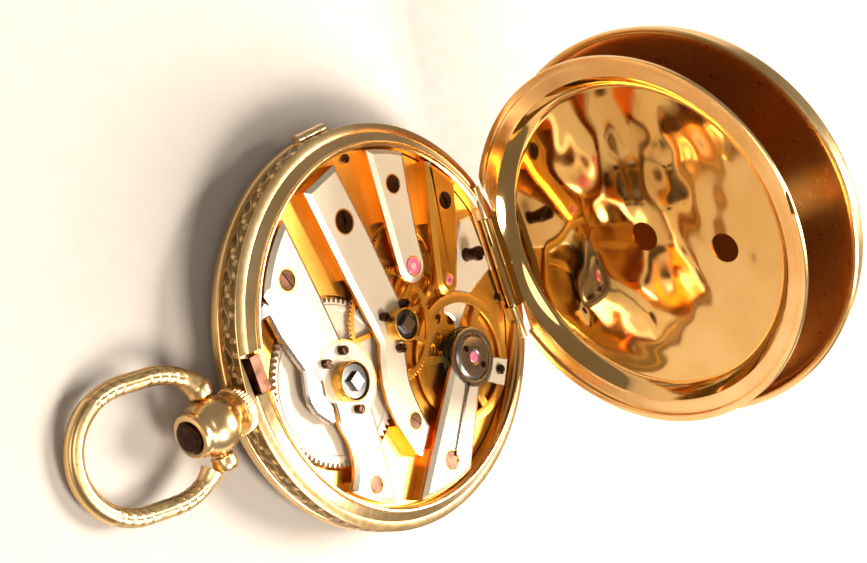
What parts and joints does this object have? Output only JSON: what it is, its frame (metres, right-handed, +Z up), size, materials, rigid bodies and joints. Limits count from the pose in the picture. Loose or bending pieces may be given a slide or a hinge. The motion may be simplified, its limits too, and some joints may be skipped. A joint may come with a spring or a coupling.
{
  "type": "pocket_watch",
  "caption": "Open-face key-wind pocket watch lying on its crystal, back cover and dust cover swung open over a bar movement, with pendant and hinged bow.",
  "frame": {"origin": "centre of the crystal's flat outer face, which the watch lies on", "axes": "Z up out of the back of the movement, Y away from the pendant towards the cover hinges, X to the right seen from above with the pendant at the bottom"},
  "size_m": [0.0408, 0.0664, 0.0444],
  "materials": {
    "gold_case": "polished gold, engraved band",
    "gold_cover": "gold, turned inside",
    "gold_mirror": "mirror polished gold",
    "burnt_steel": "steel blued to a dark brown",
    "crystal_glass": "clear",
    "enamel_white": "white enamel",
    "blued_steel": "heat blued steel",
    "polished_steel": "polished steel",
    "gilt_brass": "fire gilt brass",
    "silvered_brass": "silvered, fine grained",
    "ruby": "polished ruby"
  },
  "bodies": {
    "case": {"case_middle": "gold_case", "case_lip": "gold_case", "pendant": "gold_case", "pendant_collar": "gold_case", "bezel_pin": "gold_case", "back_pin": "gold_case", "cuvette_pin": "gold_case", "main_plate": "gilt_brass", "case_screws": "burnt_steel", "dial": "enamel_white", "centre_sleeve": "gilt_brass", "winding_sleeve": "gilt_brass", "ratchet_cap": "silvered_brass", "cap_screws": "burnt_steel", "click_spring": "polished_steel", "barrel_bridge": "silvered_brass", "centre_bridge": "silvered_brass", "third_cock": "silvered_brass", "fourth_cock": "silvered_brass", "escape_cock": "silvered_brass", "train_jewels": "ruby", "bridge_screws": "burnt_steel", "tall_screw": "burnt_steel", "balance_cock": "silvered_brass", "hairspring": "blued_steel", "stud_block": "polished_steel", "stud_screw": "burnt_steel", "endstone_cap": "polished_steel", "endstone": "ruby"},
    "front": {"front_bezel": "gold_case", "crystal": "crystal_glass"},
    "back": {"back_cover": "gold_cover"},
    "dust": {"cuvette": "gold_mirror"},
    "bow": {"bow": "gold_case", "bow_screws": "gold_case"},
    "latch": {"push_piece": "burnt_steel", "latch_nose": "burnt_steel"},
    "hands": {"set_arbor": "polished_steel", "minute_hand": "blued_steel"},
    "hour": {"hour_hand": "blued_steel", "hour_wheel": "gilt_brass"},
    "motion": {"minute_wheel": "gilt_brass"},
    "barrel": {"barrel_drum": "silvered_brass", "barrel_cover": "silvered_brass", "mainspring": "polished_steel"},
    "winding": {"barrel_arbor": "polished_steel", "ratchet_wheel": "polished_steel"},
    "centre": {"centre_wheel": "gilt_brass"},
    "third": {"third_wheel": "gilt_brass"},
    "fourth": {"fourth_wheel": "gilt_brass"},
    "escape": {"escape_wheel": "gilt_brass"},
    "balance": {"balance_wheel": "gilt_brass", "balance_staff": "polished_steel"},
    "regulator": {"regulator": "polished_steel"}
  },
  "joints": [
    {"name": "back_cover_hinge", "type": "hinge", "parent": "case", "child": "back", "pos_m": [0, 0.0199, 0.0047], "axis": [1, 0, 0], "range_deg": [0, 95.2]},
    {"name": "cuvette_hinge", "type": "hinge", "parent": "case", "child": "dust", "pos_m": [0, 0.0172, 0.0064], "axis": [1, 0, 0], "range_deg": [0, 91]},
    {"name": "bezel_hinge", "type": "hinge", "parent": "case", "child": "front", "pos_m": [-0.0201, 0, 0.00385], "axis": [0, 1, 0], "range_deg": [0, 95]},
    {"name": "bow_pivot", "type": "hinge", "parent": "case", "child": "bow", "pos_m": [0, -0.0237, 0.0041], "axis": [-1, 0, 0], "range_deg": [-60, 100]},
    {"name": "push_slide", "type": "slide", "parent": "case", "child": "latch", "axis": [0, 1, 0], "range_m": [0, 0.0004], "stiffness_N_per_m": 2000, "springref_m": -0.0005},
    {"name": "hand_setting", "type": "hinge", "parent": "case", "child": "hands", "pos_m": [0, 0, 0.005], "axis": [0, 0, -1], "continuous": true},
    {"name": "hour_turn", "type": "hinge", "parent": "case", "child": "hour", "pos_m": [0, 0, 0.005], "axis": [0, 0, -1], "continuous": true},
    {"name": "minute_wheel_turn", "type": "hinge", "parent": "case", "child": "motion", "pos_m": [0.005, 0, 0.005], "axis": [0, 0, -1], "continuous": true},
    {"name": "winding_turn", "type": "hinge", "parent": "case", "child": "winding", "pos_m": [0.0022, -0.00885, 0.006], "axis": [0, 0, 1], "continuous": true},
    {"name": "centre_turn", "type": "hinge", "parent": "case", "child": "centre", "pos_m": [0, 0, 0.006], "axis": [0, 0, 1], "continuous": true},
    {"name": "barrel_turn", "type": "hinge", "parent": "case", "child": "barrel", "pos_m": [0.0022, -0.00885, 0.005], "axis": [0, 0, 1], "continuous": true},
    {"name": "third_turn", "type": "hinge", "parent": "case", "child": "third", "pos_m": [-0.0044, 0.0047, 0.005], "axis": [0, 0, 1], "continuous": true},
    {"name": "fourth_turn", "type": "hinge", "parent": "case", "child": "fourth", "pos_m": [-0.0013, 0.0089, 0.005], "axis": [0, 0, 1], "continuous": true},
    {"name": "escape_turn", "type": "hinge", "parent": "case", "child": "escape", "pos_m": [0.0034, 0.0078, 0.005], "axis": [0, 0, 1], "continuous": true},
    {"name": "balance_swing", "type": "hinge", "parent": "case", "child": "balance", "pos_m": [0.0069, 0.0084, 0.005], "axis": [0, 0, 1], "range_deg": [-270, 270]},
    {"name": "regulator_shift", "type": "hinge", "parent": "case", "child": "regulator", "pos_m": [0.0069, 0.0084, 0.007], "axis": [0, 0, 1], "range_deg": [-15, 15]}
  ],
  "couplings": [
    {"joint": "cuvette_hinge", "follows": "back_cover_hinge", "ratio": 0.95588},
    {"joint": "minute_wheel_turn", "follows": "hand_setting", "ratio": -0.33333},
    {"joint": "hour_turn", "follows": "hand_setting", "ratio": 0.083333},
    {"joint": "barrel_turn", "follows": "centre_turn", "ratio": -0.15},
    {"joint": "third_turn", "follows": "centre_turn", "ratio": -8},
    {"joint": "fourth_turn", "follows": "centre_turn", "ratio": 60},
    {"joint": "escape_turn", "follows": "centre_turn", "ratio": -600}
  ]
}
